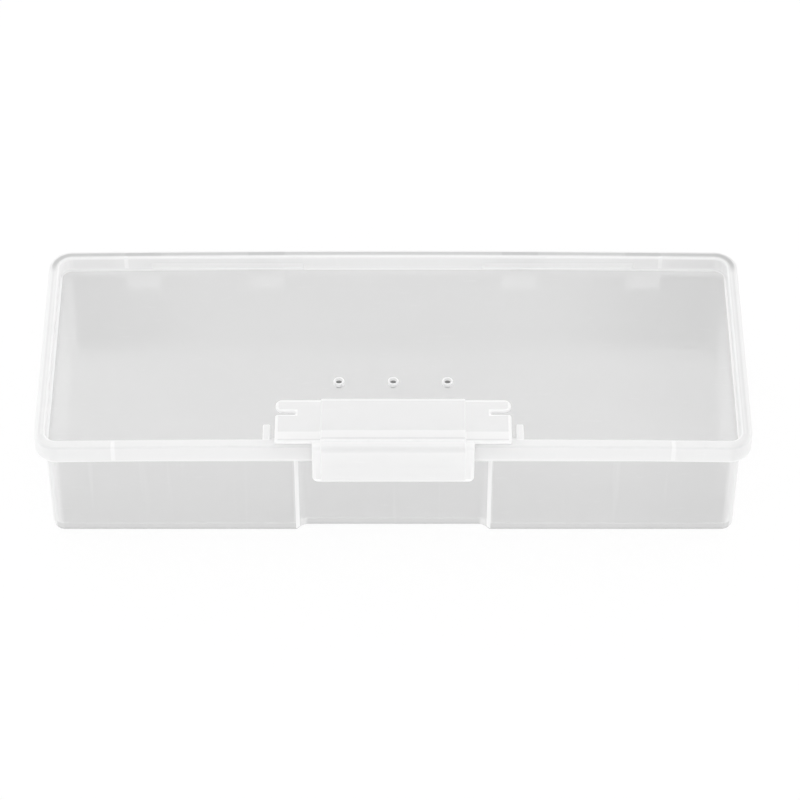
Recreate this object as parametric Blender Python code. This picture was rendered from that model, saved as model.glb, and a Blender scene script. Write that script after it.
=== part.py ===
"""Pencil case: a long frosted polypropylene tray, a hinged lid with a raised
channel rim, and a rocker latch that hooks under the tray's front flange.

Frame: X along the case, -Y the latch side (front), +Y the hinge side (back),
+Z up.  Origin: centre of the tray's underside.  Sizes are in millimetres and
become metres when a mesh is made.  An inset is measured inwards from the
outer face of the lid rim.
"""
import math

import bmesh
import bpy
from mathutils import Matrix, Vector

MM = 0.001

# ---- overall ---------------------------------------------------------------
LENGTH = 190.0            # over the lid rim, along X
DEPTH = 73.7              # over the lid rim, along Y
RIM_TOP = 36.1            # top of the rim at the two ends
CAMBER = 0.8              # how much higher the lid is at mid length
CORNER_R = 6.2            # plan radius of the rim's outer corners
CORNER_SEG = 7
EDGE_SEG = 3              # steps in the foot and rim edge rounds
GAP = 0.3                 # clearance between pieces
SHARP_ANGLE = 35          # degrees; steeper edges are shaded sharp

# ---- lid -------------------------------------------------------------------
SKIRT_T = 0.9
SKIRT_H = 5.6
SKIRT_CHAMFER = 0.25
RIM_W = 2.9               # top face of the rim
RIM_EDGE_R = 0.6
RIM_IN_ROUND = 0.35       # rounds at the rim's inner edge and the panel's foot
RIM_IN_MID = 0.1          # middle step of those rounds
RIM_DRAFT = 0.1
CHANNEL_IN = 2.2          # inset of the channel's inner side
CHANNEL_TOP = 1.0         # thickness over the channel
PANEL_DROP = 4.3          # the panel lies this far below the rim
PANEL_T = 1.0
PANEL_CHAMFER = 0.3

RIB_X = 73.9              # thin ribs that cross the rim channel
RIB_T = 0.8
RIB_DROP = 3.9            # rib bottom below RIM_TOP
RIB_OVERLAP = 0.3         # how far a rib runs into the walls around it
RELIEF_X = (24.8, 66.6)   # shallow relief in the rear rim's inner face
RELIEF_DEPTH = 0.25
RELIEF_DROPS = (3.5, 1.6)  # its bottom and top below RIM_TOP

VENT_IN = 27.0
VENT_PITCH = 14.6
VENT_R = 0.9
VENT_REACH = 3.0          # the cutter runs this far above and below the panel
COLLAR_R = 1.5
COLLAR_H = 1.0
COLLAR_SINK = 0.5

# ---- tray ------------------------------------------------------------------
TRAY_IN_TOP = 2.70        # inset of the tray's outer wall, at its top
TRAY_IN_BOT = 2.95        # and at its foot (draft)
WALL_T = 1.2
FLOOR_T = 1.2
FOOT_R = 0.8              # outer edge round at the floor
FLOOR_ROUND = 0.8         # inner edge round at the floor
FLOOR_ROUND_MID = 0.25    # middle step of that round
FLANGE_IN = 1.3           # inset of the flange and of the lip's outer side
FLANGE_T = 0.85
LIP_T = 0.6
LIP_DROP = 1.6            # lip top below the rim top
LIP_CHAMFER = 0.2
NOTCH_HALF = 1.1          # half width of the lip's notches
NOTCH_RISE = 0.4          # notch bottom above the ledge

BAY_FLAT = 22.8           # half width of the flat of the front finger bay
BAY_FLAT_INNER = BAY_FLAT + 0.5  # the same on the inner side of the wall
BAY_FLANK = 3.6           # run of each flank
BAY_DEPTH = 1.85
BAY_SEG = 6

# ---- hinge -----------------------------------------------------------------
HINGE_OUT = 1.0           # hinge axis beyond the rim's rear face
HINGE_DROP = 4.5
KNUCKLE_R = 2.0
HINGE_PIN_R = 1.0
BASE_KNUCKLES = ((30.2, 40.0), (64.4, 74.2))
LID_KNUCKLE = (BASE_KNUCKLES[0][1] + GAP, BASE_KNUCKLES[1][0] - GAP)
HINGE_PIN_REACH = 7.3     # stub pins beyond each end of the lid's barrel
LUG_BORE_X = (28.5, 76.0)
LUG_SINK = 0.5            # how far a lug runs into the rear wall
LUG_TOP_STEP = 0.05       # lug top below the ledge
LUG_END_ANGLE = -42.0     # where the gusset leaves the eye
LUG_ROOT_DROP = 7.5       # gusset foot below the hinge axis
WINDOW_GAP = 0.35         # radial clearance around a knuckle
WINDOW_DROP = 4.0         # window cutter's bottom below the hinge axis

# ---- latch -----------------------------------------------------------------
LATCH_TOP_X = 20.0        # the camber here sets the latch's height
PLATE_HALF = 31.25
PLATE_FRONT_IN = 0.5
PLATE_REAR_IN = 15.6
PLATE_T = 1.2
PLATE_CHAMFER = 0.4
SLOT_FRONT_IN = 10.3      # a slot in from each end of the plate
SLOT_REAR_IN = 11.5
SLOT_LEN = 4.85
SLOT_MOUTH_R = 0.6        # front corner of the slot's mouth
SLOT_MOUTH_EASE = 0.05
FINGER_R = 1.9            # rounds of the plate's end behind the slot
BAND_HALF = 19.2          # raised centre band
BAND_H = 0.6
BAND_BEVEL = 0.35
BAND_MARGIN = 0.1         # band short of the plate's front and rear edges
BAND_SINK = 0.4           # bottom of the band and top of the web, into the plate
BAND_FRONT_RISE = 0.25    # front band's top above the tab's top
BAND_BEND_R = 1.5
BAND_FRONT_SINK = 0.5
BAND_FRONT_BACK = 0.8     # front band's rear end behind the plate's front edge
TAB_HALF = 21.4
TAB_T = 1.2
TAB_OUT = 1.7             # the tab's front face, ahead of the rim's face
TAB_DROP = 12.0           # tab bottom below the rim top
TAB_CORNER_R = 1.6
TAB_BEND_R = 1.2
TAB_INNER_R = 0.3
TAB_TOP_STEP = 0.35       # tab's top below the plate's top
TAB_ROOT_RISE = 0.05      # tab's underside above the plate's
TAB_ROOT = 1.0            # how far the tab runs into the plate
TRIM_MARGIN = 1.0         # tab stock that the trim takes off sides and bottom
TRIM_T = 8.0
TRIM_BACK = 3.0           # trim's rear side behind the plate's front edge
TRIM_RISE = 2.0
HOOK_HALF = 17.0
HOOK_SINK = 0.3
HOOK_SHORT = 0.2          # hook's nose stops ahead of the flange's edge
HOOK_NOSE_H = 0.4
HOOK_ROOT_H = 1.9
PIVOT_IN = 4.6
PIVOT_DROP = 2.6
BARREL_R = 1.2
BARREL_END_IN = 0.3       # barrel's ends inside the plate's ends
WEB_END_IN = 0.6
WEB_HALF_T = 0.6
LATCH_PIN_R = 0.7
LATCH_PIN_HALF = 34.3
LATCH_BORE_HALF = 36.0
LATCH_LUG_X = (32.5, 34.5)
LATCH_LUG_IN = (2.5, 8.3)
LATCH_LUG_SINK = 0.4
LATCH_LUG_STEP = 0.05     # lug top below the rim top

# ---- derived ---------------------------------------------------------------
HALF_X, BACK = LENGTH / 2, DEPTH / 2
FRONT = -BACK
CORNER_X, CORNER_Y = HALF_X - CORNER_R, BACK - CORNER_R  # corner centres
HINGE_Y = BACK + HINGE_OUT
HINGE_Z = RIM_TOP - HINGE_DROP
LEDGE_TOP = RIM_TOP - PANEL_DROP - PANEL_T - GAP
FLANGE_UNDER = LEDGE_TOP - FLANGE_T
SIDES = ((-1, "left"), (1, "right"))
STATIONS = (-72.0, -48.0, -24.0, 0.0, 24.0, 48.0, 72.0)  # X of the arch's bends
CAMBER_X = (-HALF_X, -CORNER_X) + STATIONS + (CORNER_X, HALF_X)


def camber(x):
    """Rise of the lid at x: a shallow arch, straight between stations."""
    def arch(v):
        return CAMBER * (1.0 - (v / HALF_X) ** 2)
    x = max(-HALF_X, min(HALF_X, x))
    for a, b in zip(CAMBER_X, CAMBER_X[1:]):
        if x <= b:
            t = (x - a) / (b - a)
            return arch(a) * (1 - t) + arch(b) * t
    return 0.0


MID_TOP = RIM_TOP + camber(LATCH_TOP_X)      # rim top under the latch
PIVOT_Y = FRONT + PIVOT_IN
PIVOT_Z = MID_TOP - PIVOT_DROP


# ---- scene -----------------------------------------------------------------
for old_object in list(bpy.data.objects):
    bpy.data.objects.remove(old_object, do_unlink=True)
for old_mesh in list(bpy.data.meshes):
    bpy.data.meshes.remove(old_mesh)

pieces = bpy.data.collections.new("pencil_case")
tools = bpy.data.collections.new("pencil_case_cutters")
bpy.context.scene.collection.children.link(pieces)
bpy.context.scene.collection.children.link(tools)


def polypropylene(name, colour, roughness):
    """Frosted, partly see-through plastic."""
    mat = bpy.data.materials.new(name)
    mat.use_nodes = True
    inputs = mat.node_tree.nodes["Principled BSDF"].inputs
    inputs["Base Color"].default_value = (*colour, 1.0)
    inputs["Roughness"].default_value = roughness
    inputs["Metallic"].default_value = 0.0
    inputs["Transmission Weight"].default_value = 0.6
    inputs["IOR"].default_value = 1.49
    return mat


def new_object(name, bm, collection=tools):
    """Turn a bmesh in mm into an object in metres; tools stay out of renders."""
    bmesh.ops.recalc_face_normals(bm, faces=bm.faces)
    for v in bm.verts:
        v.co *= MM
    mesh = bpy.data.meshes.new(name)
    bm.to_mesh(mesh)
    bm.free()
    ob = bpy.data.objects.new(name, mesh)
    collection.objects.link(ob)
    if collection is tools:
        ob.hide_render = True
        ob.display_type = 'WIRE'
    return ob


# ---- outlines --------------------------------------------------------------
def arc(cx, cy, radius, start, end, steps):
    """Points on an arc from start to end, in degrees."""
    points = []
    for k in range(steps + 1):
        angle = math.radians(start + (end - start) * k / steps)
        points.append((cx + radius * math.cos(angle), cy + radius * math.sin(angle)))
    return points


def ring(inset, z, bay=0.0, bay_half=BAY_FLAT, arched=False):
    """Closed outline `inset` inside the rim's rounded rectangle, at height z.

    bay pushes the middle of the front side in by that depth, with an S-shaped
    flank on each side of a flat of half width bay_half.  An arched ring has
    points at the stations instead, and follows the camber."""
    front = [(-CORNER_X, 0.0)]             # x, share of the bay's depth
    if arched:
        front += [(x, 0.0) for x in STATIONS]
    else:
        for k in range(BAY_SEG + 1):
            t = k / BAY_SEG
            front.append((-(bay_half + BAY_FLANK * (1 - t)),
                          0.5 - 0.5 * math.cos(math.pi * t)))
        for k in range(BAY_SEG + 1):
            t = k / BAY_SEG
            front.append((bay_half + BAY_FLANK * t,
                          0.5 + 0.5 * math.cos(math.pi * t)))
    points = [(x, FRONT + inset + bay * share) for x, share in front]

    def corner(sx, sy, start):
        return arc(sx * CORNER_X, sy * CORNER_Y, CORNER_R - inset,
                   start, start + 90.0, CORNER_SEG)
    points += corner(1, -1, -90.0) + corner(1, 1, 0.0)
    if arched:
        points += [(x, BACK - inset) for x in reversed(STATIONS)]
    points += corner(-1, 1, 90.0) + corner(-1, -1, 180.0)
    points.pop()                           # the last point repeats the first
    return [Vector((x, y, z + (camber(x) if arched else 0.0))) for x, y in points]


def edge_round(radius):
    """(sideways, vertical) setbacks of a quarter round, from 0 to 90 degrees."""
    angles = [math.radians(90.0 / EDGE_SEG * k) for k in range(EDGE_SEG + 1)]
    return [(radius * (1 - math.cos(a)), radius * (1 - math.sin(a))) for a in angles]


# ---- solids ----------------------------------------------------------------
def loft(rings):
    """Skin a run of outlines that share their point count, and close it."""
    bm = bmesh.new()
    loops = [[bm.verts.new(p) for p in r] for r in rings]
    count = len(loops[0])
    for a, b in zip(loops, loops[1:]):
        for i in range(count):
            j = (i + 1) % count
            bm.faces.new((a[i], a[j], b[j], b[i]))
    bm.faces.new(list(reversed(loops[0])))
    bm.faces.new(loops[-1])
    return bm


def flat(name, outline, thickness, matrix, collection=tools):
    """A flat outline as a filled 2D curve, extruded, turned into a mesh.

    The outline lies in the curve's XY plane and the thickness runs from 0 to
    `thickness` along its Z; `matrix` then places it."""
    curve = bpy.data.curves.new(name + "_outline", 'CURVE')
    curve.dimensions = '2D'
    curve.fill_mode = 'BOTH'
    curve.extrude = thickness / 2
    spline = curve.splines.new('POLY')
    spline.points.add(len(outline) - 1)
    for point, (x, y) in zip(spline.points, outline):
        point.co = (x, y, 0.0, 1.0)
    spline.use_cyclic_u = True
    temp = bpy.data.objects.new(name + "_outline", curve)
    bpy.context.scene.collection.objects.link(temp)
    depsgraph = bpy.context.evaluated_depsgraph_get()
    mesh = bpy.data.meshes.new_from_object(temp.evaluated_get(depsgraph))
    bpy.data.objects.remove(temp, do_unlink=True)
    bm = bmesh.new()
    bm.from_mesh(mesh)
    bpy.data.meshes.remove(mesh)
    bmesh.ops.remove_doubles(bm, verts=bm.verts, dist=0.0005)
    # One face for each cap.
    bmesh.ops.dissolve_limit(bm, angle_limit=0.01, verts=bm.verts, edges=bm.edges)
    bmesh.ops.translate(bm, verts=bm.verts, vec=(0, 0, thickness / 2))
    bmesh.ops.transform(bm, matrix=matrix, verts=bm.verts)
    return new_object(name, bm, collection)


def side_plane(x0):
    """Curve X -> world Y, curve Y -> world Z, thickness -> world X."""
    return Matrix(((0, 0, 1, x0), (1, 0, 0, 0), (0, 1, 0, 0), (0, 0, 0, 1)))


def front_plane(y0):
    """Curve X -> world X, curve Y -> world Z, thickness -> world -Y."""
    return Matrix(((1, 0, 0, 0), (0, 0, -1, y0), (0, 1, 0, 0), (0, 0, 0, 1)))


def box(name, x, y, z, bevel=0.0):
    """A block between the (low, high) pairs x, y and z."""
    bm = bmesh.new()
    bmesh.ops.create_cube(bm, size=1.0)
    for v in bm.verts:
        v.co.x = x[0] if v.co.x < 0 else x[1]
        v.co.y = y[0] if v.co.y < 0 else y[1]
        v.co.z = z[0] if v.co.z < 0 else z[1]
    if bevel:
        bmesh.ops.bevel(bm, geom=list(bm.edges), offset=bevel, segments=2,
                        profile=0.5, affect='EDGES')
    return new_object(name, bm)


def cylinder(name, radius, length, matrix, segments=16):
    bm = bmesh.new()
    bmesh.ops.create_cone(bm, cap_ends=True, segments=segments, radius1=radius,
                          radius2=radius, depth=length)
    bmesh.ops.transform(bm, verts=bm.verts, matrix=matrix)
    return new_object(name, bm)


def rod(name, x, y, z, radius, segments=16):
    """A round bar along X."""
    place = (Matrix.Translation(((x[0] + x[1]) / 2, y, z))
             @ Matrix.Rotation(math.pi / 2, 4, 'Y'))
    return cylinder(name, radius, x[1] - x[0], place, segments)


def post(name, x, y, z, radius):
    """A round post along Z."""
    place = Matrix.Translation((x, y, (z[0] + z[1]) / 2))
    return cylinder(name, radius, z[1] - z[0], place)


def mirrored(sign, span):
    """An X span on the side given by sign, low end first."""
    return sorted(sign * x for x in span)


def boolean(target, tool, operation):
    mod = target.modifiers.new(operation.lower() + "_" + tool.name, 'BOOLEAN')
    mod.operation = operation
    mod.solver = 'EXACT'
    mod.object = tool


def add(target, tool):
    boolean(target, tool, 'UNION')


def cut(target, tool):
    boolean(target, tool, 'DIFFERENCE')


def finish(ob, mat, origin=(0.0, 0.0, 0.0), parent=None):
    """Put the origin on the joint axis and give the piece its material."""
    axis = Vector(origin) * MM
    ob.data.transform(Matrix.Translation(-axis))
    parent_axis = Vector(parent["axis"]) if parent else Vector((0, 0, 0))
    ob["axis"] = tuple(axis)
    ob.parent = parent
    ob.location = axis - parent_axis
    ob.data.materials.append(mat)
    ob.data.shade_smooth()
    ob.data.set_sharp_from_angle(angle=math.radians(SHARP_ANGLE))


# ---- base tray -------------------------------------------------------------
def tray_body():
    """One loft: up the outside, out to the flange, over the lip, down the inside."""
    rings = [ring(TRAY_IN_BOT + up, side, BAY_DEPTH)
             for side, up in edge_round(FOOT_R)]
    lip_top = RIM_TOP - LIP_DROP
    rings += [
        ring(TRAY_IN_TOP, FLANGE_UNDER, BAY_DEPTH),
        ring(FLANGE_IN, FLANGE_UNDER),
        ring(FLANGE_IN, lip_top - LIP_CHAMFER),
        ring(FLANGE_IN + LIP_CHAMFER, lip_top),
        ring(FLANGE_IN + LIP_T, lip_top),
        ring(FLANGE_IN + LIP_T, LEDGE_TOP),
    ]
    foot = TRAY_IN_BOT + WALL_T
    inside = (                             # inset, height
        (TRAY_IN_TOP + WALL_T, LEDGE_TOP),
        (foot, FLOOR_T + FLOOR_ROUND),
        (foot + FLOOR_ROUND_MID, FLOOR_T + FLOOR_ROUND_MID),
        (foot + FLOOR_ROUND, FLOOR_T),
    )
    rings += [ring(inset, z, BAY_DEPTH, BAY_FLAT_INNER) for inset, z in inside]
    return new_object("base_tray", loft(rings), pieces)


def add_hinge_lugs(tray):
    """A round eye on a gusset that grows out of the rear wall."""
    root_y = BACK - TRAY_IN_TOP - LUG_SINK
    lug_top = LEDGE_TOP - LUG_TOP_STEP
    rise_angle = math.degrees(math.asin((lug_top - HINGE_Z) / KNUCKLE_R))
    profile = [(root_y, lug_top)]
    profile += arc(HINGE_Y, HINGE_Z, KNUCKLE_R, 180.0 - rise_angle, LUG_END_ANGLE, 16)
    profile.append((root_y, HINGE_Z - LUG_ROOT_DROP))
    for sign, side in SIDES:
        for n, span in enumerate(BASE_KNUCKLES):
            add(tray, flat("add_lug_%s_%d" % (side, n), profile, span[1] - span[0],
                           side_plane(mirrored(sign, span)[0])))
        cut(tray, rod("cut_lug_bore_" + side, mirrored(sign, LUG_BORE_X),
                      HINGE_Y, HINGE_Z, HINGE_PIN_R + GAP))


def build_tray():
    tray = tray_body()
    # The lid's rear rim turns down through the place of the lip, so the lip
    # stops short of the two rear corners.
    cut(tray, box("cut_rear_lip", (-HALF_X - 5, HALF_X + 5),
                  (BACK - CORNER_R - 1.0, BACK + 2),
                  (LEDGE_TOP - 0.1, RIM_TOP + 5)))
    # Notches for the lid's front ribs.
    lip_y = FRONT + FLANGE_IN
    for sign, side in SIDES:
        cut(tray, box("cut_lip_notch_" + side,
                      mirrored(sign, (RIB_X - NOTCH_HALF, RIB_X + NOTCH_HALF)),
                      (lip_y - 0.5, lip_y + LIP_T + 0.3),
                      (LEDGE_TOP + NOTCH_RISE, RIM_TOP)))
    add_hinge_lugs(tray)
    return tray


# ---- lid -------------------------------------------------------------------
def lid_body():
    """One loft: from the panel's underside, round the channel, down and up
    the skirt, over the rim and down to the panel's top."""
    panel_top = RIM_TOP - PANEL_DROP
    panel_under = panel_top - PANEL_T
    channel_z = RIM_TOP - CHANNEL_TOP
    skirt_z = RIM_TOP - SKIRT_H
    sections = [                           # inset, height
        (CHANNEL_IN + PANEL_CHAMFER, panel_under),
        (CHANNEL_IN, panel_under + PANEL_CHAMFER),
        (CHANNEL_IN, channel_z),
        (SKIRT_T, channel_z),
        (SKIRT_T, skirt_z),
        (SKIRT_CHAMFER, skirt_z),
        (0.0, skirt_z + SKIRT_CHAMFER),
    ]
    sections += [(side, RIM_TOP - up) for side, up in edge_round(RIM_EDGE_R)]
    foot = RIM_W + RIM_DRAFT
    sections += [
        (RIM_W - RIM_IN_ROUND, RIM_TOP),
        (RIM_W - RIM_IN_MID, RIM_TOP - RIM_IN_MID),
        (RIM_W, RIM_TOP - RIM_IN_ROUND),
        (foot, panel_top + RIM_IN_ROUND),
        (foot + RIM_IN_MID, panel_top + RIM_IN_MID),
        (foot + RIM_IN_ROUND, panel_top),
    ]
    bm = loft([ring(inset, z, arched=True) for inset, z in sections])
    # Edges across the faces wherever the arch bends.
    for x in STATIONS + (-CORNER_X, CORNER_X):
        bmesh.ops.bisect_plane(bm, geom=bm.verts[:] + bm.edges[:] + bm.faces[:],
                               dist=0.0005, plane_co=(x, 0, 0), plane_no=(1, 0, 0))
    return new_object("lid", bm, pieces)


def add_ribs(lid):
    """Ribs across the rim channel, front and rear."""
    near, far = SKIRT_T - RIB_OVERLAP, CHANNEL_IN + RIB_OVERLAP
    rib_z = (RIM_TOP - RIB_DROP, RIM_TOP + camber(RIB_X) - CHANNEL_TOP + RIB_OVERLAP)
    for sign, side in SIDES:
        rib_x = mirrored(sign, (RIB_X - RIB_T / 2, RIB_X + RIB_T / 2))
        add(lid, box("add_rib_front_" + side, rib_x, (FRONT + near, FRONT + far), rib_z))
        add(lid, box("add_rib_rear_" + side, rib_x, (BACK - far, BACK - near), rib_z))


def add_hinge_barrels(lid):
    """Barrels on the rear skirt with a stub pin at each end, and windows in
    the skirt for the tray's lugs."""
    radius = KNUCKLE_R + WINDOW_GAP
    window = [(HINGE_Y - radius, HINGE_Z - WINDOW_DROP)]
    window += arc(HINGE_Y, HINGE_Z, radius, 180.0, 0.0, 14)
    window.append((HINGE_Y + radius, HINGE_Z - WINDOW_DROP))
    pins_x = (LID_KNUCKLE[0] - HINGE_PIN_REACH, LID_KNUCKLE[1] + HINGE_PIN_REACH)
    for sign, side in SIDES:
        for n, span in enumerate(BASE_KNUCKLES):
            cut(lid, flat("cut_window_%s_%d" % (side, n), window,
                          span[1] - span[0] + 2 * GAP,
                          side_plane(mirrored(sign, span)[0] - GAP)))
        add(lid, rod("add_barrel_" + side, mirrored(sign, LID_KNUCKLE),
                     HINGE_Y, HINGE_Z, KNUCKLE_R, 20))
        add(lid, rod("add_stub_pins_" + side, mirrored(sign, pins_x),
                     HINGE_Y, HINGE_Z, HINGE_PIN_R))
        # Relief in the rim's inner face, at the hinge.
        cut(lid, box("cut_relief_" + side, mirrored(sign, RELIEF_X),
                     (BACK - RIM_W - 0.6, BACK - RIM_W + RELIEF_DEPTH),
                     [RIM_TOP - drop for drop in RELIEF_DROPS]))


def add_latch_lugs(lid):
    """Lugs for the latch's pivot pins."""
    rise = camber(sum(LATCH_LUG_X) / 2)
    for sign, side in SIDES:
        add(lid, box("add_latch_lug_" + side, mirrored(sign, LATCH_LUG_X),
                     [FRONT + inset for inset in LATCH_LUG_IN],
                     (RIM_TOP - PANEL_DROP + rise - LATCH_LUG_SINK,
                      RIM_TOP + rise - LATCH_LUG_STEP)))
    cut(lid, rod("cut_latch_bore", (-LATCH_BORE_HALF, LATCH_BORE_HALF),
                 PIVOT_Y, PIVOT_Z, LATCH_PIN_R + GAP))


def add_vents(lid):
    """Three vents in a row along X: a short collar with a through hole."""
    y = FRONT + VENT_IN
    vents = []                             # number, x, panel top
    for n in (-1, 0, 1):
        x = n * VENT_PITCH
        vents.append((n + 2, x, RIM_TOP - PANEL_DROP + camber(x)))
    for number, x, z in vents:
        add(lid, post("add_collar_%d" % number, x, y,
                      (z - COLLAR_SINK, z + COLLAR_H), COLLAR_R))
    for number, x, z in vents:
        cut(lid, post("cut_vent_%d" % number, x, y,
                      (z - VENT_REACH, z + VENT_REACH), VENT_R))


def build_lid():
    lid = lid_body()
    add_ribs(lid)
    add_hinge_barrels(lid)
    add_latch_lugs(lid)
    add_vents(lid)
    return lid


# ---- latch -----------------------------------------------------------------
PLATE_FRONT, PLATE_REAR = FRONT + PLATE_FRONT_IN, FRONT + PLATE_REAR_IN
PLATE_UNDER = MID_TOP + GAP
TAB_TOP = PLATE_UNDER + PLATE_T - TAB_TOP_STEP
TAB_BOTTOM = MID_TOP - TAB_DROP
TAB_FRONT = FRONT - TAB_OUT
TAB_BACK = TAB_FRONT + TAB_T


def latch_plate():
    """Plan of the plate's +X half, front to rear, then its mirror image."""
    slot_front, slot_rear = FRONT + SLOT_FRONT_IN, FRONT + SLOT_REAR_IN
    finger_x = PLATE_HALF - FINGER_R
    half = [(0.0, PLATE_FRONT), (PLATE_HALF - PLATE_CHAMFER, PLATE_FRONT),
            (PLATE_HALF, PLATE_FRONT + PLATE_CHAMFER)]
    half += arc(PLATE_HALF - SLOT_MOUTH_R, slot_front - (SLOT_MOUTH_R + SLOT_MOUTH_EASE),
                SLOT_MOUTH_R, 0.0, 75.0, 3)
    half += arc(PLATE_HALF - SLOT_LEN, (slot_front + slot_rear) / 2,
                (slot_rear - slot_front) / 2, 270.0, 90.0, 6)
    half += arc(finger_x, slot_rear + FINGER_R + SLOT_MOUTH_EASE, FINGER_R, -75.0, 0.0, 4)
    half += arc(finger_x, PLATE_REAR - FINGER_R, FINGER_R, 0.0, 90.0, 4)
    half.append((0.0, PLATE_REAR))
    plan = half + [(-x, y) for x, y in reversed(half[1:-1])]
    return flat("latch", plan, PLATE_T, Matrix.Translation((0, 0, PLATE_UNDER)), pieces)


def add_tab(latch):
    """A bend off the plate's front edge, then down in front of the rim.

    The side profile sets its thickness and the front outline its round
    corners."""
    root_y, root_z = PLATE_FRONT + TAB_ROOT, PLATE_UNDER + TAB_ROOT_RISE
    stock_z = TAB_BOTTOM - TRIM_MARGIN
    profile = [(root_y, root_z), (root_y, TAB_TOP)]
    profile += arc(TAB_FRONT + TAB_BEND_R, TAB_TOP - TAB_BEND_R, TAB_BEND_R,
                   90.0, 180.0, 5)
    profile += [(TAB_FRONT, stock_z), (TAB_BACK, stock_z)]
    profile += arc(TAB_BACK + TAB_INNER_R, PLATE_UNDER - (TAB_INNER_R - TAB_ROOT_RISE),
                   TAB_INNER_R, 180.0, 90.0, 3)
    tab = flat("add_tab", profile, 2 * (TAB_HALF + TRIM_MARGIN),
               side_plane(-TAB_HALF - TRIM_MARGIN))
    corner_x, corner_z = TAB_HALF - TAB_CORNER_R, TAB_BOTTOM + TAB_CORNER_R
    face = [(TAB_HALF, TAB_TOP + TRIM_RISE), (-TAB_HALF, TAB_TOP + TRIM_RISE)]
    face += arc(-corner_x, corner_z, TAB_CORNER_R, 180.0, 270.0, 6)
    face += arc(corner_x, corner_z, TAB_CORNER_R, 270.0, 360.0, 6)
    boolean(tab, flat("trim_tab", face, TRIM_T, front_plane(PLATE_FRONT + TRIM_BACK)),
            'INTERSECT')
    add(latch, tab)


def add_band(latch):
    """Raised centre band, over the plate and down the tab."""
    add(latch, box("add_band_top", (-BAND_HALF, BAND_HALF),
                   (PLATE_FRONT + BAND_MARGIN, PLATE_REAR - BAND_MARGIN),
                   (PLATE_UNDER + BAND_SINK, PLATE_UNDER + PLATE_T + BAND_H),
                   bevel=BAND_BEVEL))
    back_y, inner_y = PLATE_FRONT + BAND_FRONT_BACK, TAB_FRONT + BAND_FRONT_SINK
    inner_z = TAB_TOP - BAND_FRONT_SINK
    profile = [(inner_y, inner_z), (back_y, inner_z), (back_y, TAB_TOP + BAND_FRONT_RISE)]
    profile += arc(TAB_FRONT + (BAND_BEND_R - BAND_H),
                   TAB_TOP - (BAND_BEND_R - BAND_FRONT_RISE), BAND_BEND_R, 90.0, 180.0, 5)
    # Chamfered lower end, a little above the tab's bottom.
    profile += [(TAB_FRONT - BAND_H, TAB_BOTTOM + 1.1),
                (TAB_FRONT - BAND_H + 0.3, TAB_BOTTOM + 0.6),
                (inner_y, TAB_BOTTOM + 0.6)]
    add(latch, flat("add_band_front", profile, 2 * BAND_HALF - 0.1,
                    side_plane(-BAND_HALF + 0.05)))


def add_hook(latch):
    """Hook on the tab's inner face, under the tray's flange."""
    hook_top = FLANGE_UNDER - GAP
    root_y, nose_y = TAB_BACK - HOOK_SINK, FRONT + FLANGE_IN - HOOK_SHORT
    profile = [(root_y, hook_top), (nose_y, hook_top),
               (nose_y, hook_top - HOOK_NOSE_H), (root_y, hook_top - HOOK_ROOT_H)]
    add(latch, flat("add_hook", profile, 2 * HOOK_HALF, side_plane(-HOOK_HALF)))


def add_pivot(latch):
    """A web down to a barrel, with a stub pin at each end."""
    web_half, barrel_half = PLATE_HALF - WEB_END_IN, PLATE_HALF - BARREL_END_IN
    add(latch, box("add_web", (-web_half, web_half),
                   (PIVOT_Y - WEB_HALF_T, PIVOT_Y + WEB_HALF_T),
                   (PIVOT_Z, PLATE_UNDER + BAND_SINK)))
    add(latch, rod("add_latch_barrel", (-barrel_half, barrel_half),
                   PIVOT_Y, PIVOT_Z, BARREL_R))
    add(latch, rod("add_latch_pins", (-LATCH_PIN_HALF, LATCH_PIN_HALF),
                   PIVOT_Y, PIVOT_Z, LATCH_PIN_R, 12))


def build_latch():
    latch = latch_plate()
    add_tab(latch)
    add_band(latch)
    add_hook(latch)
    add_pivot(latch)
    return latch


# ---- build, place, materials -----------------------------------------------
tray = build_tray()
lid = build_lid()
latch = build_latch()
finish(tray, polypropylene("pp_tray", colour=(0.86, 0.87, 0.87), roughness=0.42))
finish(lid, polypropylene("pp_lid", colour=(0.90, 0.91, 0.91), roughness=0.38),
       origin=(0.0, HINGE_Y, HINGE_Z))
finish(latch, polypropylene("pp_latch", colour=(0.93, 0.94, 0.94), roughness=0.36),
       origin=(0.0, PIVOT_Y, PIVOT_Z), parent=lid)
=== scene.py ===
# A long, low box of frosted polypropylene: a tray, a lid hinged along the back and a
# latch over the front. The mouldings are built in millimetres and baked to metres.
# x runs along the box, -y is the front, +y the hinge side, and z = 0 is the tray's foot.
import functools
import math

import bmesh
import bpy
from mathutils import Matrix, Vector


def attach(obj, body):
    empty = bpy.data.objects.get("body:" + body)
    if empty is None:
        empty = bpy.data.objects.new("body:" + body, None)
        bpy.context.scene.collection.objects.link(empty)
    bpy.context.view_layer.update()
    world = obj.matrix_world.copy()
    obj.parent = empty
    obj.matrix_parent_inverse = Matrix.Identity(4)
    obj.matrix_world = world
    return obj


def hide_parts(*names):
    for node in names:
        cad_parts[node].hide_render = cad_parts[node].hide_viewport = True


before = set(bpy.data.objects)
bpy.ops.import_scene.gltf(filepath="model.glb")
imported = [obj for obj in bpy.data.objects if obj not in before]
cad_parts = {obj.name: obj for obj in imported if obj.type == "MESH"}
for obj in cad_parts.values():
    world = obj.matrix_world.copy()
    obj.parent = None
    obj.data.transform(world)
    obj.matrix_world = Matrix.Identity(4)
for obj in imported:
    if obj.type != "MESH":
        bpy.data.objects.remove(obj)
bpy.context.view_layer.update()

MM = 0.001

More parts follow.
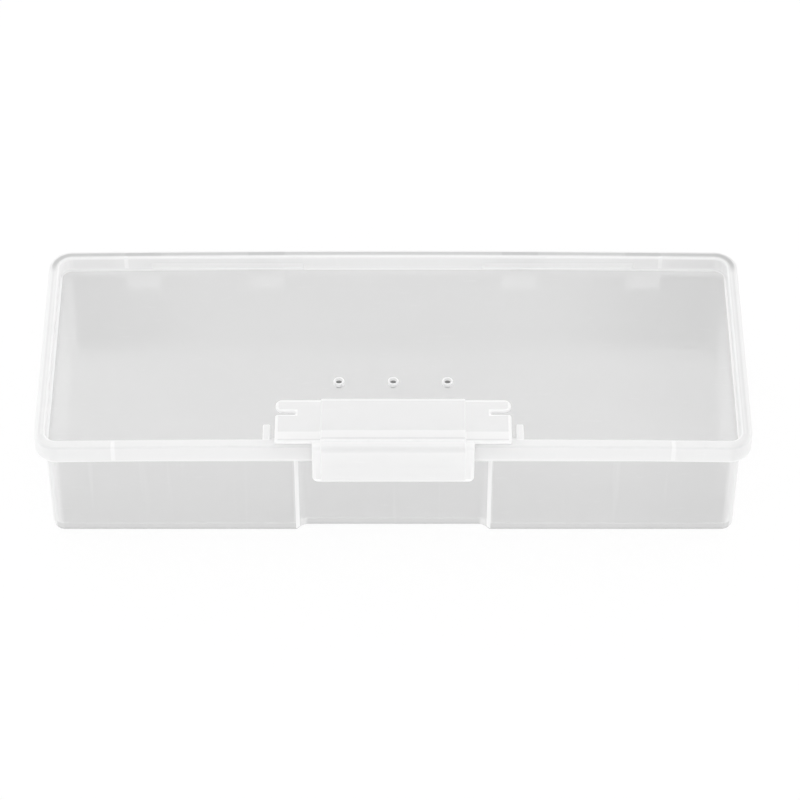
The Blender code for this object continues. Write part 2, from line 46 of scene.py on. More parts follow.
# ---------------------------------------------------------------------------
# Dimensions, mm. An INSET is measured in from the box's outline, a DROP down
# from the top of the lid.
# ---------------------------------------------------------------------------
GAP = 0.3                      # clearance between the mouldings
# box outline
LENGTH = 190.0
DEPTH = 73.7
CORNER_R = 6.2
RIM_TOP = 36.1                 # at the ends of the lid
CAMBER = 0.8                   # rise of the lid at mid-length
HALF_X = LENGTH / 2
HALF_Y = DEPTH / 2
FRONT = -HALF_Y
BACK = HALF_Y
CORNER_X = HALF_X - CORNER_R   # corner centres
CORNER_Y = HALF_Y - CORNER_R
CORNER_STEPS = 14
# lid
SKIRT_T = 0.9
SKIRT_H = 5.6
RIM_W = 2.9
RIM_EDGE_R = 0.6
CHANNEL_INSET = 2.2            # inner side of the channel under the rim
CHANNEL_DROP = 1.0
PANEL_DROP = 4.3
PANEL_T = 1.0
PANEL_TOP = RIM_TOP - PANEL_DROP
PANEL_UNDER = PANEL_TOP - PANEL_T
RIB_X = 73.9                   # ribs across the channel
RIB_T = 0.8
LID_STATIONS = tuple(-84.0 + 7.0 * i for i in range(25))   # x along the arched lid
# tray
TRAY_INSET_TOP = 2.70
TRAY_INSET_BOTTOM = 2.95
WALL_T = 1.2
FLOOR_T = 1.2
FOOT_R = 0.8
FLOOR_R = 1.0                  # inside, between wall and floor
FLANGE_INSET = 1.3
FLANGE_T = 0.85
LIP_T = 0.6
LIP_DROP = 1.6
LEDGE_TOP = PANEL_UNDER - GAP
FLANGE_UNDER = LEDGE_TOP - FLANGE_T
# finger bay in the tray's front wall
BAY_FLAT = 22.8                # half-length of its flat
BAY_FLANK = 3.6
BAY_DEPTH = 1.85
# hinge; spans are x on one side, mirrored on the other
HINGE_Y = 37.85
HINGE_Z = RIM_TOP - 4.5
KNUCKLE_R = 2.0
HINGE_PIN_R = 1.0
TRAY_KNUCKLES = ((30.2, 40.0), (64.4, 74.2))
LID_KNUCKLE = (40.3, 64.1)
# vents in the lid panel
VENT_INSET = 27.0
VENT_PITCH = 14.6
VENT_R = 0.9
COLLAR_R = 1.5
COLLAR_H = 1.0
# latch plate, with a slot in each end; depths are measured from FRONT
PLATE_HALF = 31.25
PLATE_FRONT = 0.5
PLATE_REAR = 15.6
PLATE_T = 1.2
PLATE_REAR_R = 1.9
SLOT_FRONT = 10.3
SLOT_REAR = 11.5
SLOT_LEN = 4.85
# raised band over the latch, and the tab hanging in front
BAND_HALF = 19.2
BAND_H = 0.6
TAB_HALF = 21.4
TAB_T = 1.2
TAB_FACE = -1.7
TAB_DROP = 12.0
TAB_R = 1.6
# latch pivot and the lid lugs that hold it
BARREL_R = 1.2
LATCH_PIN_R = 0.7
LUG_X = (32.5, 34.5)
LUG_INSET = (2.5, 8.3)


def camber(x):
    """The lid's rise at x."""
    return CAMBER * (1.0 - (x / HALF_X) ** 2)


# the latch sits on the lid's height at x = 20, on a chord from x = 0 to 24
CHORD_SHARE = 20.0 / 24.0
MID_TOP = RIM_TOP + (camber(0.0) * (1 - CHORD_SHARE) + camber(24.0) * CHORD_SHARE)
PIVOT_Y = FRONT + 4.6
PIVOT_Z = MID_TOP - 2.6
PLATE_UNDER = MID_TOP + GAP
TAB_BOTTOM = MID_TOP - TAB_DROP

# material slots of every piece: EDGE is a milkier copy that paints highlights on rounded edges,
# SHADE a dark copy that paints shade in the vent bores, OVER_CHANNEL the rim over the channel,
# which carries a painted shade line
SKIN, EDGE, THICK, SHADE, OVER_CHANNEL = range(5)
SLOT_COUNT = 5
SHARP = 0.6                    # radians; edges that turn more are rounded

work_objects = []              # removed once the pieces are baked


# ---------------------------------------------------------------------------
# Mesh tools
# ---------------------------------------------------------------------------
def new_object(name, bm):
    bmesh.ops.recalc_face_normals(bm, faces=bm.faces)
    mesh = bpy.data.meshes.new(name)
    bm.to_mesh(mesh)
    bm.free()
    ob = bpy.data.objects.new(name, mesh)
    bpy.context.scene.collection.objects.link(ob)
    for _ in range(SLOT_COUNT):       # booleans keep the face indices of empty slots
        mesh.materials.append(None)
    work_objects.append(ob)
    return ob


def arc(cx, cy, radius, start, end, steps):
    """Points from start to end, in degrees."""
    angles = [math.radians(start + (end - start) * k / steps) for k in range(steps + 1)]
    return [(cx + radius * math.cos(a), cy + radius * math.sin(a)) for a in angles]


def quarter(steps, first=0):
    """(falling, rising) shares along a quarter round: 1 - sin and 1 - cos."""
    angles = [math.radians(90.0 * k / steps) for k in range(first, steps + 1)]
    return [(1 - math.sin(a), 1 - math.cos(a)) for a in angles]


def span(side, near, far):
    """The x range near..far on the side -1 or 1."""
    return sorted((side * near, side * far))


def loft(sections):
    """Skins (outline, material of the faces that lead to it) and caps the ends."""
    bm = bmesh.new()
    loops = [[bm.verts.new(p) for p in outline] for outline, _ in sections]
    count = len(loops[0])
    for last, this, (_, kind) in zip(loops, loops[1:], sections[1:]):
        for i in range(count):
            j = (i + 1) % count
            face = bm.faces.new((last[i], last[j], this[j], this[i]))
            face.material_index = kind
    bm.faces.new(list(reversed(loops[0])))
    bm.faces.new(loops[-1])
    return bm


def round_edges(bm, width, segments=3, edges=None, kind=EDGE):
    """Rounds the given edges, or else every sharp one."""
    if edges is None:
        edges = [e for e in bm.edges if len(e.link_faces) == 2 and e.calc_face_angle(0) > SHARP]
    bmesh.ops.bevel(bm, geom=edges, offset=width, segments=segments, profile=0.5,
                    affect='EDGES', material=kind, clamp_overlap=True)


def prism(name, outline, thickness, matrix, width=0.0, kind=THICK, segments=3, edge=EDGE):
    """A flat outline made solid. width rounds its rims."""
    bm = bmesh.new()
    bm.faces.new([bm.verts.new((x, y, 0.0)) for x, y in outline])
    extruded = bmesh.ops.extrude_face_region(bm, geom=list(bm.faces))
    raised = [g for g in extruded["geom"] if isinstance(g, bmesh.types.BMVert)]
    bmesh.ops.translate(bm, verts=raised, vec=(0, 0, thickness))
    bmesh.ops.recalc_face_normals(bm, faces=bm.faces)
    for face in bm.faces:
        face.material_index = kind
    if width:
        rim = {e for f in bm.faces if abs(f.normal.z) > 0.9 for e in f.edges}
        round_edges(bm, width, segments, list(rim), edge)
    bmesh.ops.transform(bm, matrix=matrix, verts=bm.verts)
    return new_object(name, bm)


def side_plane(x0):
    """Takes a (y, z) outline, extruded along +x from x0."""
    return Matrix(((0, 0, 1, x0), (1, 0, 0, 0), (0, 1, 0, 0), (0, 0, 0, 1)))


def front_plane(y0):
    """Takes an (x, z) outline, extruded along -y from y0."""
    return Matrix(((1, 0, 0, 0), (0, 0, -1, y0), (0, 1, 0, 0), (0, 0, 0, 1)))


def box(name, x, y, z, width=0.0, kind=THICK, edge=EDGE):
    bm = bmesh.new()
    bmesh.ops.create_cube(bm, size=1.0)
    for v in bm.verts:
        v.co = [limits[0] if c < 0 else limits[1] for c, limits in zip(v.co, (x, y, z))]
    for face in bm.faces:
        face.material_index = kind
    if width:
        round_edges(bm, width, kind=edge)
    return new_object(name, bm)


def rod(name, x, y, z, radius, segments=40, width=0.0):
    """A cylinder along x."""
    bm = bmesh.new()
    bmesh.ops.create_cone(bm, cap_ends=True, segments=segments, radius1=radius,
                          radius2=radius, depth=x[1] - x[0])
    for face in bm.faces:
        face.material_index = THICK
    if width:
        round_edges(bm, width)
    bmesh.ops.transform(bm, verts=bm.verts,
                        matrix=Matrix.Translation(((x[0] + x[1]) / 2, y, z))
                        @ Matrix.Rotation(math.pi / 2, 4, 'Y'))
    return new_object(name, bm)


def turned(name, profile, centre, shade_below=-1e9):
    """A closed turned body. The profile is (radius, z) from the bottom axis point to the top
    one. Faces below shade_below take the SHADE slot, a painted shade; the others take EDGE, a
    painted highlight."""
    segments = 40
    seam = 0.37                       # turn of the first vertex, in segments
    turns = [2 * math.pi * (k + seam) / segments for k in range(segments)]
    bm = bmesh.new()
    rows = []
    for radius, z in profile:
        if radius < 1e-6:
            rows.append([bm.verts.new((0, 0, z))])
        else:
            rows.append([bm.verts.new((radius * math.cos(t), radius * math.sin(t), z))
                         for t in turns])
    for a, b, (_, z_a), (_, z_b) in zip(rows, rows[1:], profile, profile[1:]):
        kind = SHADE if (z_a + z_b) / 2 < shade_below else EDGE
        for k in range(segments):
            j = (k + 1) % segments
            if len(a) == 1:
                corners = (a[0], b[j], b[k])
            elif len(b) == 1:
                corners = (a[k], a[j], b[0])
            else:
                corners = (a[k], a[j], b[j], b[k])
            bm.faces.new(corners).material_index = kind
    bmesh.ops.translate(bm, verts=bm.verts, vec=centre)
    return new_object(name, bm)


def boolean(target, tool, operation):
    modifier = target.modifiers.new("boolean", 'BOOLEAN')
    modifier.operation = operation
    modifier.solver = 'EXACT'
    modifier.object = tool


def join(target, tool):
    boolean(target, tool, 'UNION')


def cut(target, tool):
    boolean(target, tool, 'DIFFERENCE')


def baked(ob, name):
    """The object's final mesh as a new piece, in metres."""
    depsgraph = bpy.context.evaluated_depsgraph_get()
    mesh = bpy.data.meshes.new_from_object(ob.evaluated_get(depsgraph))
    bm = bmesh.new()
    bm.from_mesh(mesh)
    bmesh.ops.remove_doubles(bm, verts=bm.verts, dist=0.0008)
    bmesh.ops.dissolve_degenerate(bm, edges=bm.edges, dist=0.0005)
    bmesh.ops.scale(bm, verts=bm.verts, vec=(MM, MM, MM))
    bm.to_mesh(mesh)
    bm.free()
    mesh.name = name
    piece = bpy.data.objects.new(name, mesh)
    bpy.context.scene.collection.objects.link(piece)
    mesh.shade_smooth()
    mesh.set_sharp_from_angle(angle=math.radians(32))
    weighted = piece.modifiers.new("flat_faces_stay_flat", 'WEIGHTED_NORMAL')
    weighted.mode = 'FACE_AREA'
    weighted.weight = 60
    weighted.keep_sharp = True
    return piece


# ---------------------------------------------------------------------------
# Outlines, anticlockwise from the front left corner
# ---------------------------------------------------------------------------
def case_outline(front, inset, back=()):
    """Joins the front and back points with the four corners."""
    def corner(side_x, side_y, start):
        return arc(side_x * CORNER_X, side_y * CORNER_Y, CORNER_R - inset,
                   start, start + 90.0, CORNER_STEPS)
    return [*front, *corner(1, -1, -90.0), *corner(1, 1, 0.0), *back,
            *corner(-1, 1, 90.0), *corner(-1, -1, 180.0)[:-1]]


def bay_flank(outer):
    """(x, share of the depth) down one flank of the bay: a tight outer
    corner, a steep short wall, and a wide inner sweep."""
    slope = math.radians(45.0)
    tight_r = 0.8
    wide_r = 3.6
    points = []
    for k in range(8):
        a = slope * k / 7
        points.append((tight_r * math.sin(a), tight_r * (1 - math.cos(a))))
    drop = BAY_DEPTH - (tight_r + wide_r) * (1 - math.cos(slope))
    wall_x = points[-1][0] + drop / math.tan(slope)
    wall_y = points[-1][1] + drop
    for k in range(11):
        a = slope * (1 - k / 10)
        points.append((wall_x + wide_r * (math.sin(slope) - math.sin(a)),
                       wall_y + wide_r * (math.cos(a) - math.cos(slope))))
    return [(outer - x, y / BAY_DEPTH) for x, y in points]


def tray_ring(inset, z, bay_depth=0.0, bay_flat=BAY_FLAT):
    flank = bay_flank(bay_flat + BAY_FLANK)
    front = [(x, 0.0) for x in (-CORNER_X, -72.0, -54.0, -38.0)]
    front += [(-x, share) for x, share in flank]
    front += [(x, 1.0) for x in (-10.0, 0.0, 10.0)]
    front += reversed(flank)
    front += [(x, 0.0) for x in (38.0, 54.0, 72.0)]
    front = [(x, FRONT + inset + bay_depth * share) for x, share in front]
    return [(x, y, z) for x, y in case_outline(front, inset)]


def lid_ring(inset, z):
    front = [(x, FRONT + inset) for x in (-CORNER_X, *LID_STATIONS)]
    back = [(x, BACK - inset) for x in reversed(LID_STATIONS)]
    return [(x, y, z + camber(x)) for x, y in case_outline(front, inset, back)]


# ---------------------------------------------------------------------------
# Tray
# ---------------------------------------------------------------------------
def tray_shell():
    """Lofted up the outside, over the flange and its lip, and down the inside."""
    lip_top = RIM_TOP - LIP_DROP
    lip_inner = FLANGE_INSET + LIP_T
    wall_top = TRAY_INSET_TOP + WALL_T
    wall_bottom = TRAY_INSET_BOTTOM + WALL_T
    # rows are inset, z, material of the faces that lead there
    outside = [(TRAY_INSET_BOTTOM + FOOT_R * falling, FOOT_R * rising, SKIN)
               for falling, rising in quarter(5)]
    outside += [(TRAY_INSET_TOP + 0.05, FLANGE_UNDER - 0.4, SKIN),
                (TRAY_INSET_TOP, FLANGE_UNDER - 0.15, SKIN),
                (TRAY_INSET_TOP - 0.2, FLANGE_UNDER, THICK)]
    flange = [(FLANGE_INSET + 0.2, FLANGE_UNDER, THICK),
              (FLANGE_INSET + 0.05, FLANGE_UNDER + 0.06, EDGE),
              (FLANGE_INSET, FLANGE_UNDER + 0.2, EDGE),
              (FLANGE_INSET, lip_top - 0.25, THICK),
              (FLANGE_INSET + 0.08, lip_top - 0.07, EDGE),
              (FLANGE_INSET + 0.25, lip_top, EDGE),
              (lip_inner - 0.2, lip_top, EDGE),
              (lip_inner - 0.05, lip_top - 0.06, EDGE),
              (lip_inner, lip_top - 0.2, EDGE),
              (lip_inner, LEDGE_TOP + 0.15, THICK),
              (lip_inner + 0.15, LEDGE_TOP, THICK)]
    inside = [(wall_top - 0.3, LEDGE_TOP, THICK),
              (wall_top - 0.08, LEDGE_TOP - 0.08, EDGE),
              (wall_top, LEDGE_TOP - 0.3, EDGE)]
    inside += [(wall_bottom + FLOOR_R * rising, FLOOR_T + FLOOR_R * falling, SKIN)
               for falling, rising in quarter(5)]
    sections = []
    for rows, bay in ((outside, (BAY_DEPTH,)), (flange, ()),
                      (inside, (BAY_DEPTH, BAY_FLAT + 0.5))):
        sections += [(tray_ring(inset, z, *bay), kind) for inset, z, kind in rows]
    bm = loft(sections)
    bm.normal_update()
    # painted highlight: the outer corners of the finger bay take the brighter EDGE material
    for face in bm.faces:                      # outer corners of the finger bay
        x, y, z = face.calc_center_median()
        if (face.material_index == SKIN and y < FRONT + 4.3 and 25.35 < abs(x) < 26.45
                and 0.8 < z < FLANGE_UNDER and abs(face.normal.x) > 0.12):
            face.material_index = EDGE
    return new_object("tray_work", bm)


def build_tray():
    tray = tray_shell()
    cut(tray, box("rear_lip", (-HALF_X - 5, HALF_X + 5), (BACK - CORNER_R - 1.0, BACK + 2),
                  (LEDGE_TOP - 0.1, RIM_TOP + 5)))
    for side in (-1, 1):                       # the lid's front ribs pass the lip here
        cut(tray, box("notch", span(side, RIB_X - 1.1, RIB_X + 1.1),
                      (FRONT + FLANGE_INSET - 0.5, FRONT + FLANGE_INSET + LIP_T + 0.3),
                      (LEDGE_TOP + 0.4, RIM_TOP)))
    # knuckles on lugs that taper down into the back wall
    lug_y = BACK - TRAY_INSET_TOP - 0.5
    lug_top = LEDGE_TOP - 0.05
    top_angle = math.degrees(math.asin((lug_top - HINGE_Z) / KNUCKLE_R))
    lug = [(lug_y, lug_top), *arc(HINGE_Y, HINGE_Z, KNUCKLE_R, 180.0 - top_angle, -42.0, 30),
           (lug_y, HINGE_Z - 7.5)]
    for side in (-1, 1):
        for near, far in TRAY_KNUCKLES:
            join(tray, prism("lug", lug, far - near, side_plane(span(side, near, far)[0]), 0.2))
        cut(tray, rod("lug_bore", span(side, 28.5, 76.0), HINGE_Y, HINGE_Z, HINGE_PIN_R + GAP))
    return tray


# ---------------------------------------------------------------------------
# Lid
# ---------------------------------------------------------------------------
def lid_shell():
    """Lofted from the panel's underside, through the channel, round the skirt
    and over the rim to the panel's top."""
    channel_top = RIM_TOP - CHANNEL_DROP
    skirt_bottom = RIM_TOP - SKIRT_H
    under_r = 0.3
    skirt_inner_r = 0.2
    skirt_outer_r = 0.35
    rim_inner_r = 0.4
    panel_r = 0.45
    panel_inset = RIM_W + 0.1
    # rows are inset, z, material of the faces that lead there
    rows = [(CHANNEL_INSET + under_r * falling, PANEL_UNDER + under_r * rising, THICK)
            for falling, rising in quarter(3)]
    rows += [(CHANNEL_INSET, channel_top - 0.2, THICK),
             (CHANNEL_INSET - 0.06, channel_top - 0.06, THICK),
             (CHANNEL_INSET - 0.2, channel_top, THICK),
             (SKIRT_T + 0.2, channel_top, THICK),
             (SKIRT_T + 0.06, channel_top - 0.06, THICK),
             (SKIRT_T, channel_top - 0.2, THICK),
             (SKIRT_T, skirt_bottom + skirt_inner_r, THICK)]
    rows += [(SKIRT_T - skirt_inner_r * rising, skirt_bottom + skirt_inner_r * falling, EDGE)
             for falling, rising in quarter(3, first=1)]
    rows += [(skirt_outer_r * falling, skirt_bottom + skirt_outer_r * rising, EDGE)
             for falling, rising in quarter(4)]
    rows.append((0.0, skirt_bottom + 0.6, EDGE))
    rows += [(RIM_EDGE_R * rising, RIM_TOP - RIM_EDGE_R * falling, THICK)
             for falling, rising in quarter(7)]
    # the rim over the channel takes OVER_CHANNEL, which carries a painted shade line
    rows += [(0.75, RIM_TOP, THICK), (2.15, RIM_TOP, OVER_CHANNEL)]
    rows += [(RIM_W - rim_inner_r * falling, RIM_TOP - rim_inner_r * rising,
              EDGE if rising else THICK) for falling, rising in quarter(5)]
    rows.append((panel_inset, PANEL_TOP + panel_r, THICK))
    rows += [(panel_inset + panel_r * rising, PANEL_TOP + panel_r * falling, EDGE)
             for falling, rising in quarter(5, first=1)]
    bm = loft([(lid_ring(inset, z), kind) for inset, z, kind in rows])
    # painted shade: the dark line over the channel is left off the front bar
    for face in bm.faces:                      # the front bar shows no line
        if face.material_index == OVER_CHANNEL and face.calc_center_median().y < FRONT + 5.0:
            face.material_index = THICK
    for x in LID_STATIONS + (-CORNER_X, CORNER_X):     # the flat caps take the camber
        bmesh.ops.bisect_plane(bm, geom=bm.verts[:] + bm.edges[:] + bm.faces[:],
                               dist=0.0005, plane_co=(x, 0, 0), plane_no=(1, 0, 0))
    return new_object("lid_work", bm)


def add_ribs(lid):
    heights = (RIM_TOP - 3.9, RIM_TOP + camber(RIB_X) - CHANNEL_DROP + 0.3)
    for side in (-1, 1):
        across = span(side, RIB_X - RIB_T / 2, RIB_X + RIB_T / 2)
        for along in ((FRONT + SKIRT_T - 0.3, FRONT + CHANNEL_INSET + 0.3),
                      (BACK - CHANNEL_INSET - 0.3, BACK - SKIRT_T + 0.3)):
            join(lid, box("rib", across, along, heights))


def add_lid_hinge(lid):
    """Windows for the tray's knuckles, barrels with stub pins, and a relief in
    the rim's inner face."""
    window_r = KNUCKLE_R + 0.35
    window = [(HINGE_Y - KNUCKLE_R - 0.35, HINGE_Z - 4.0),
              *arc(HINGE_Y, HINGE_Z, window_r, 180.0, 0.0, 28),
              (HINGE_Y + KNUCKLE_R + 0.35, HINGE_Z - 4.0)]
    for side in (-1, 1):
        for near, far in TRAY_KNUCKLES:
            start = span(side, near, far)[0] - 0.3
            cut(lid, prism("window", window, far - near + 0.6, side_plane(start)))
        join(lid, rod("barrel", span(side, *LID_KNUCKLE), HINGE_Y, HINGE_Z, KNUCKLE_R, 40, 0.25))
        join(lid, rod("stub_pins", span(side, 33.0, 71.4), HINGE_Y, HINGE_Z,
                      HINGE_PIN_R, 32, 0.2))
        cut(lid, box("relief", span(side, 24.8, 66.6), (BACK - RIM_W - 0.6, BACK - RIM_W + 0.25),
                     (RIM_TOP - 3.5, RIM_TOP - 1.6), 0.15))


def add_latch_lugs(lid):
    rise = camber(sum(LUG_X) / 2)
    for side in (-1, 1):
        join(lid, box("latch_lug", span(side, *LUG_X),
                      (FRONT + LUG_INSET[0], FRONT + LUG_INSET[1]),
                      (PANEL_TOP + rise - 0.4, RIM_TOP + rise - 0.05), 0.4))
    cut(lid, rod("latch_bore", (-36.0, 36.0), PIVOT_Y, PIVOT_Z, LATCH_PIN_R + GAP, 32))


def add_vents(lid):
    """Three collared holes; profiles are (radius, z above the panel)."""
    collar_r = 0.35
    mouth_r = 0.22
    cutter_r = VENT_R + 0.5
    collar = [(0, -0.5), (COLLAR_R, -0.5), (COLLAR_R, COLLAR_H - collar_r),
              *arc(COLLAR_R - collar_r, COLLAR_H - collar_r, collar_r, 0.0, 90.0, 6)[1:],
              (0, COLLAR_H)]
    bore = [(0, -3.0), (cutter_r, -3.0), (cutter_r, -PANEL_T - 0.16),
            *arc(VENT_R + mouth_r, -PANEL_T + 0.06, mouth_r, -90.0, -180.0, 5),
            (VENT_R, COLLAR_H - 0.95),
            *arc(VENT_R + mouth_r, COLLAR_H - mouth_r, mouth_r, 180.0, 90.0, 5),
            (cutter_r, COLLAR_H + 0.16), (cutter_r, 3.0), (0, 3.0)]
    for n in (-1, 0, 1):
        x = n * VENT_PITCH
        centre = (x, FRONT + VENT_INSET, PANEL_TOP + camber(x))
        join(lid, turned("collar", collar, centre))
        # the bore wall more than 0.9 mm below the collar's top takes the painted shade
        cut(lid, turned("vent", bore, centre, COLLAR_H - 0.9))


def build_lid():
    lid = lid_shell()
    add_ribs(lid)
    add_lid_hinge(lid)
    add_latch_lugs(lid)
    add_vents(lid)
    return lid


# ---------------------------------------------------------------------------
# Latch
# ---------------------------------------------------------------------------
PLATE_Y = (FRONT + PLATE_FRONT, FRONT + PLATE_REAR)
TAB_Y = FRONT + TAB_FACE
BEND_TOP = PLATE_UNDER + PLATE_T - 0.35


def latch_plate():
    front, rear = PLATE_Y
    slot_front = FRONT + SLOT_FRONT
    slot_rear = FRONT + SLOT_REAR
    rear_x = PLATE_HALF - PLATE_REAR_R
    half = [(0.0, front)]
    half += arc(PLATE_HALF - 0.5, front + 0.5, 0.5, -90.0, 0.0, 5)
    half += arc(PLATE_HALF - 0.6, slot_front - 0.65, 0.6, 0.0, 75.0, 6)
    half += arc(PLATE_HALF - SLOT_LEN, (slot_front + slot_rear) / 2,
                (slot_rear - slot_front) / 2, 270.0, 90.0, 12)
    half += arc(rear_x, slot_rear + PLATE_REAR_R + 0.05, PLATE_REAR_R, -75.0, 0.0, 9)
    half += arc(rear_x, rear - PLATE_REAR_R, PLATE_REAR_R, 0.0, 90.0, 9)
    half.append((0.0, rear))
    plan = half + [(-x, y) for x, y in reversed(half[1:-1])]
    return prism("latch_work", plan, PLATE_T, Matrix.Translation((0, 0, PLATE_UNDER)),
                 0.45, SKIN, 4)


def latch_tab():
    """The bend over the front edge, cut to the tab's face outline and rounded."""
    start_y = PLATE_Y[0] + 1.0
    back_y = TAB_Y + TAB_T
    profile = [(start_y, PLATE_UNDER + 0.05), (start_y, BEND_TOP)]
    profile += arc(TAB_Y + 1.2, BEND_TOP - 1.2, 1.2, 90.0, 180.0, 10)
    profile += [(TAB_Y, TAB_BOTTOM - 1.0), (back_y, TAB_BOTTOM - 1.0)]
    profile += arc(back_y + 0.3, PLATE_UNDER - 0.25, 0.3, 180.0, 90.0, 6)
    bend = prism("tab_bend", profile, 2 * TAB_HALF + 2.0, side_plane(-TAB_HALF - 1.0))
    face = [(TAB_HALF, BEND_TOP + 2.0), (-TAB_HALF, BEND_TOP + 2.0)]
    face += arc(-TAB_HALF + TAB_R, TAB_BOTTOM + TAB_R, TAB_R, 180.0, 270.0, 12)
    face += arc(TAB_HALF - TAB_R, TAB_BOTTOM + TAB_R, TAB_R, 270.0, 360.0, 12)
    boolean(bend, prism("tab_face", face, 8.0, front_plane(PLATE_Y[0] + 3.0)), 'INTERSECT')
    bevel = bend.modifiers.new("round", 'BEVEL')
    bevel.width = 0.4
    bevel.segments = 4
    bevel.limit_method = 'ANGLE'
    bevel.angle_limit = math.radians(40.0)
    bevel.material = EDGE
    bevel.profile = 0.5
    bevel.use_clamp_overlap = True
    return bend


def add_band(latch):
    """The raised band across the plate's top and down the tab's front."""
    front, rear = PLATE_Y
    join(latch, box("band_top", (-BAND_HALF, BAND_HALF), (front + 0.1, rear - 0.1),
                    (PLATE_UNDER + 0.4, PLATE_UNDER + PLATE_T + BAND_H), 0.4, SKIN, THICK))
    profile = [(TAB_Y + 0.52, BEND_TOP - 0.53), (front + 0.83, BEND_TOP - 0.53),
               (front + 0.83, BEND_TOP + 0.23),
               *arc(TAB_Y + 0.9, BEND_TOP - 1.25, 1.5, 90.0, 180.0, 10),
               (TAB_Y - BAND_H, TAB_BOTTOM + 1.1), (TAB_Y - BAND_H + 0.3, TAB_BOTTOM + 0.6),
               (TAB_Y + 0.52, TAB_BOTTOM + 0.6)]
    join(latch, prism("band_front", profile, 2 * BAND_HALF - 0.1, side_plane(-BAND_HALF + 0.07),
                      0.25, SKIN, 3, THICK))


def build_latch():
    latch = latch_plate()
    join(latch, latch_tab())
    add_band(latch)
    # the hook on the tab's back reaches under the tray's flange
    hook_top = FLANGE_UNDER - GAP
    hook_root = TAB_Y + TAB_T - 0.3
    hook_tip = FRONT + FLANGE_INSET - 0.2
    hook = [(hook_root, hook_top), (hook_tip, hook_top),
            (hook_tip, hook_top - 0.4), (hook_root, hook_top - 1.9)]
    join(latch, prism("hook", hook, 34.0, side_plane(-17.0), 0.12))
    join(latch, box("web", (-PLATE_HALF + 0.6, PLATE_HALF - 0.6),
                    (PIVOT_Y - 0.6, PIVOT_Y + 0.6), (PIVOT_Z, PLATE_UNDER + 0.4)))
    join(latch, rod("latch_barrel", (-PLATE_HALF + 0.3, PLATE_HALF - 0.3),
                    PIVOT_Y, PIVOT_Z, BARREL_R, 32, 0.2))
    join(latch, rod("latch_pins", (-34.3, 34.3), PIVOT_Y, PIVOT_Z, LATCH_PIN_R, 24, 0.15))
    return latch


# ---------------------------------------------------------------------------
# Shader graphs
# ---------------------------------------------------------------------------
class Graph:
    """A new material's node tree. An input may be a value, a socket, or a node,
    which stands for its first output."""

    def __init__(self, name):
        self.material = bpy.data.materials.new(name)
        self.material.use_nodes = True
        self.material.node_tree.nodes.clear()

    def add(self, kind, inputs, **settings):
        tree = self.material.node_tree
        node = tree.nodes.new("ShaderNode" + kind)
        for key, value in settings.items():
            setattr(node, key, value)
        for key, value in inputs.items():
            if isinstance(value, bpy.types.Node):
                value = value.outputs[0]
            if isinstance(value, bpy.types.NodeSocket):
                tree.links.new(value, node.inputs[key])
            else:
                node.inputs[key].default_value = value
        return node

    def math(self, operation, *values):
        return self.add("Math", dict(enumerate(values)), operation=operation)

    def mix(self, share, first, second):
        return self.add("MixShader", {0: share, 1: first, 2: second})

    def finish(self, shader):
        self.add("OutputMaterial", {"Surface": shader})
        return self.material


class PlasticGraph(Graph):
    def __init__(self, name):
        super().__init__(name)
        self.coordinates = self.add("TexCoord", {})

    def ramp(self, value, start, end, low=0.0, high=1.0):
        return self.add("MapRange", {"Value": value, "From Min": start, "From Max": end,
                                     "To Min": low, "To Max": high},
                        interpolation_type='SMOOTHSTEP')

    def noise(self, scale, detail, stretch=(1.0, 1.0, 1.0)):
        place = self.add("Mapping", {"Vector": self.coordinates.outputs["Object"],
                                     "Scale": stretch})
        return self.add("TexNoise", {"Vector": place, "Scale": scale, "Detail": detail})

    @functools.cache
    def source(self, name):
        """What the masks read: x, y, z or abs_x; level, 1 on level faces;
        inset, the distance in from the lid's outline."""
        if name == "place":
            return self.add("SeparateXYZ", {0: self.coordinates.outputs["Object"]})
        if name == "facing":
            return self.add("SeparateXYZ", {0: self.coordinates.outputs["Normal"]})
        if name in ("x", "y", "z"):
            return self.source("place").outputs["xyz".index(name)]
        if name == "abs_x":
            return self.math('ABSOLUTE', self.source("x"))
        if name == "level":
            return self.math('ABSOLUTE', self.source("facing").outputs[2])
        squares = []                           # "inset"
        for axis, centre in (("x", CORNER_X), ("y", CORNER_Y)):
            past = self.math('SUBTRACT', self.math('ABSOLUTE', self.source(axis)), centre * MM)
            past = self.math('MAXIMUM', past, 0.0)
            squares.append(self.math('MULTIPLY', past, past))
        away = self.math('SQRT', self.math('ADD', *squares))
        return self.math('SUBTRACT', CORNER_R * MM, away)

    def mask(self, ranges):
        """1 where every source in (source, from, to) has reached its `to`."""
        ramps = [self.ramp(self.source(name), start, end) for name, start, end in ranges]
        return functools.reduce(lambda a, b: self.math('MULTIPLY', a, b), ramps)


